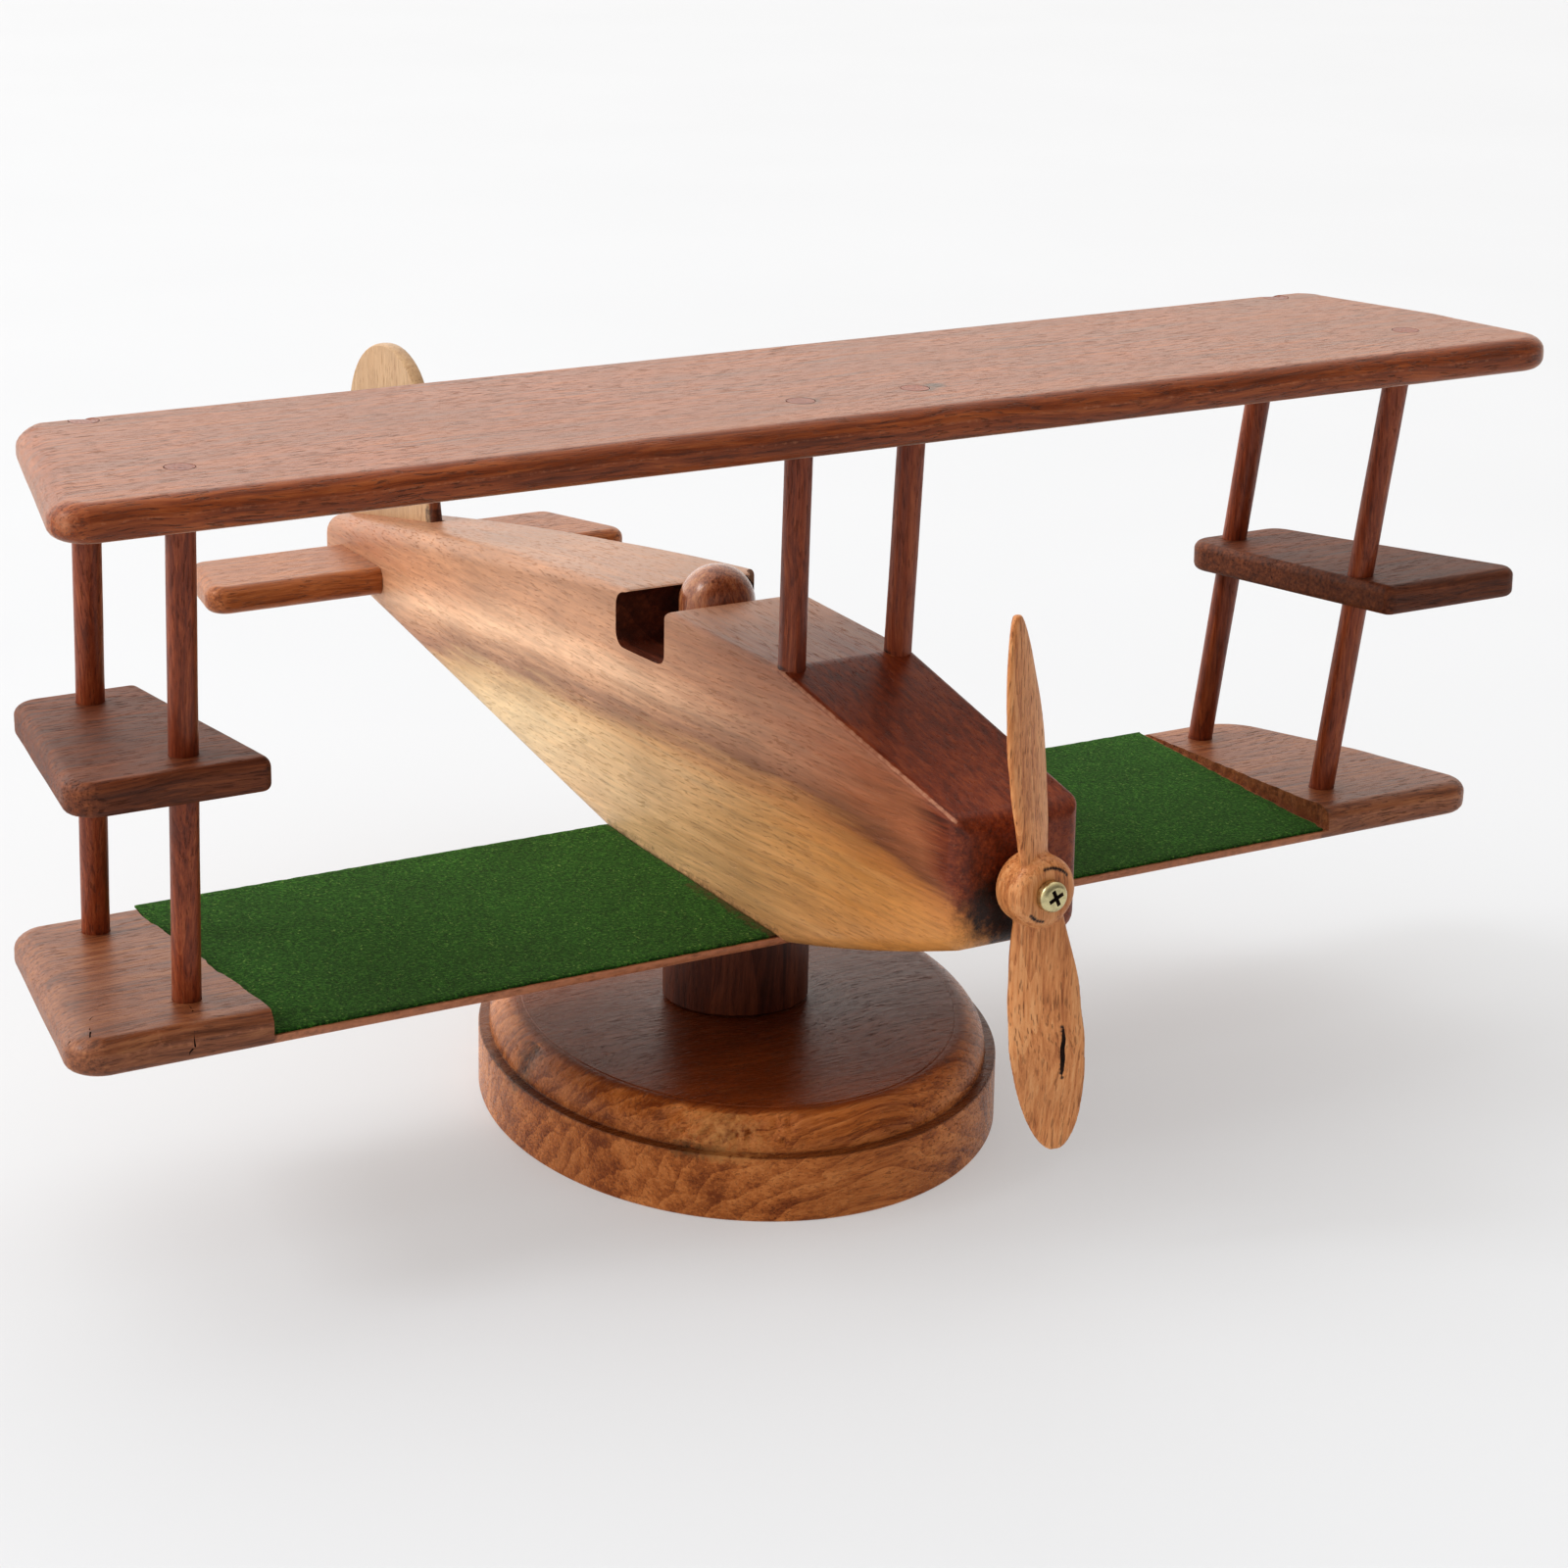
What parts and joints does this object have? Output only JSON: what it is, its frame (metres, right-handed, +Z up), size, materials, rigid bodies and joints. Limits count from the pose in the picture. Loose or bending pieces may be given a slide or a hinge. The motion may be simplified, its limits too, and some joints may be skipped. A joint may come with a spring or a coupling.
{
  "type": "wooden biplane ornament on pedestal",
  "caption": "Carved wooden biplane ornament with dowel struts and felt-covered lower wings, on a column it turns on, over a moulded oval base, with a free-spinning two-blade propeller.",
  "frame": {"origin": "on the underside of the oval base, on the axis that the aeroplane turns about", "axes": "+X along the wings to the pilot's left (port), -Y towards the nose and propeller, +Z up"},
  "size_m": [0.5837, 0.4976, 0.268],
  "materials": {
    "wing_wood": "satin varnish",
    "strut_wood": "satin varnish",
    "fuselage_wood": "satin varnish",
    "fin_wood": "satin varnish",
    "propeller_wood": "satin varnish",
    "base_wood": "gloss varnish",
    "column_wood": "gloss varnish",
    "pilot_wood": "gloss varnish",
    "dowel_wood": "bare",
    "felt": "matt felt",
    "brass": "worn brass plate",
    "steel": "zinc plate"
  },
  "bodies": {
    "base": {"base_plinth": "base_wood"},
    "airframe": {"swivel_screw": "steel", "swivel_washer": "steel", "pedestal_column": "column_wood", "column_dowel": "dowel_wood", "fuselage": "fuselage_wood", "lower_wing": "wing_wood", "felt_port": "felt", "felt_starboard": "felt", "upper_wing": "wing_wood", "strut_front_port": "strut_wood", "strut_front_starboard": "strut_wood", "strut_rear_port": "strut_wood", "strut_rear_starboard": "strut_wood", "cabane_strut_port": "strut_wood", "cabane_strut_starboard": "strut_wood", "shelf_port": "wing_wood", "shelf_starboard": "wing_wood", "tailplane_port": "wing_wood", "tailplane_starboard": "wing_wood", "tailplane_dowels": "dowel_wood", "fin": "fin_wood", "pilot_head": "pilot_wood", "propeller_screw": "brass", "propeller_washer": "brass"},
    "propeller": {"propeller": "propeller_wood"}
  },
  "joints": [
    {"name": "swivel", "type": "hinge", "parent": "base", "child": "airframe", "pos_m": [0, 0, 0.0355], "axis": [0, 0, 1], "continuous": true},
    {"name": "propeller_spin", "type": "hinge", "parent": "airframe", "child": "propeller", "pos_m": [0, -0.18, 0.1289], "axis": [0, 1, 0], "continuous": true}
  ]
}
